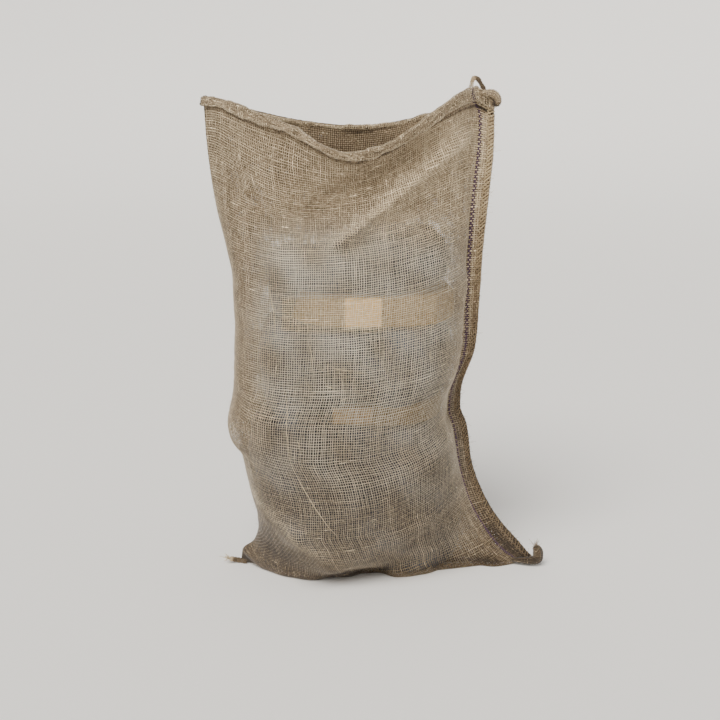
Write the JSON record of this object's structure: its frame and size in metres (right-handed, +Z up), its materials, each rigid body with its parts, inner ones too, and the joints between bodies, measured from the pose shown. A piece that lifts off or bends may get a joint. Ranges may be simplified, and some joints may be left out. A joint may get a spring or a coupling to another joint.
{
  "type": "hessian sack",
  "caption": "Filled hessian sack standing on its base with its mouth open, sewn up one side, soft packs showing through the open weave.",
  "frame": {"origin": "on the floor, at the middle of the bottom seam under the sack", "axes": "+Z up, -Y towards the front panel, +X towards the sewn side"},
  "size_m": [0.5176, 0.2455, 0.7575],
  "materials": {
    "hessian": "open plain weave, natural",
    "twine": "spun jute, hairy",
    "dark_film": "dark film, softly wrinkled",
    "kraft_paper": "pale kraft, plain",
    "card": "blank kraft card"
  },
  "bodies": {
    "root": {"sack": "hessian", "tail_mouth": "twine", "tail_left": "twine", "tail_right": "twine", "pack_low": "dark_film", "pack_mid": "dark_film", "pack_top": "dark_film", "paper_low": "kraft_paper", "paper_high": "kraft_paper", "card_low": "card", "card_high": "card"}
  },
  "joints": []
}
